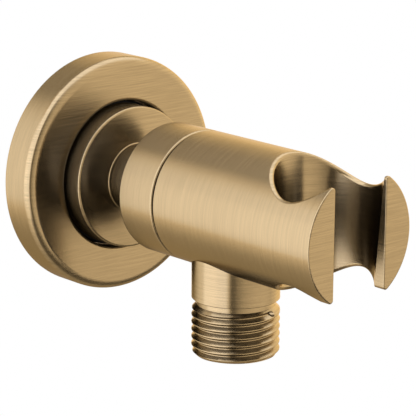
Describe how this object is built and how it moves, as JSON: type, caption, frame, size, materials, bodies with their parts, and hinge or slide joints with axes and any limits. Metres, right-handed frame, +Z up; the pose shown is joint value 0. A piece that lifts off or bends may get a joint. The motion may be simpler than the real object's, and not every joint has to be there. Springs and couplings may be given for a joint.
{
  "type": "hand shower holder",
  "caption": "Wall-mounted hand shower holder with round flange, ball joint, forked conical cradle and threaded hose outlet below.",
  "frame": {"origin": "centre of the water inlet in the wall plane", "axes": "+Z up, the wall is the XZ plane and the holder stands out from it along -Y"},
  "size_m": [0.0584, 0.0913, 0.065],
  "materials": {
    "brushed_gold": "brushed satin gold coating",
    "black_rubber": "matte",
    "white_acetal": "smooth moulded",
    "valve_plastic": "moulded",
    "spring_steel": "drawn wire"
  },
  "bodies": {
    "wall_side": {"wall_hub": "brushed_gold", "ball_stem": "brushed_gold", "flange_o_ring": "black_rubber"},
    "flange": {"wall_flange": "brushed_gold"},
    "swing_seat": {"front_seat": "white_acetal"},
    "tilt_seat": {"rear_seat": "white_acetal"},
    "holder": {"ball_nut": "brushed_gold", "holder_body": "brushed_gold", "outlet_nipple": "brushed_gold", "valve_housing": "valve_plastic", "valve_o_ring": "black_rubber", "valve_guide": "valve_plastic", "valve_spring": "spring_steel"},
    "poppet": {"valve_poppet": "valve_plastic", "poppet_seal": "black_rubber"}
  },
  "joints": [
    {"name": "holder_swing", "type": "hinge", "parent": "wall_side", "child": "swing_seat", "pos_m": [0, -0.0341, 0], "axis": [0, 0, 1], "range_deg": [-12, 12]},
    {"name": "holder_tilt", "type": "hinge", "parent": "swing_seat", "child": "tilt_seat", "pos_m": [0, -0.0341, 0], "axis": [1, 0, 0], "range_deg": [-12, 12]},
    {"name": "holder_roll", "type": "hinge", "parent": "tilt_seat", "child": "holder", "pos_m": [0, -0.0341, 0], "axis": [0, 1, 0], "continuous": true},
    {"name": "flange_slide", "type": "slide", "parent": "wall_side", "child": "flange", "axis": [0, -1, 0], "range_m": [0, 0.02]},
    {"name": "valve_lift", "type": "slide", "parent": "holder", "child": "poppet", "axis": [0, 0, -1], "range_m": [0, 0.003], "stiffness_N_per_m": 200, "springref_m": -0.004, "deforming": ["valve_spring"]}
  ]
}
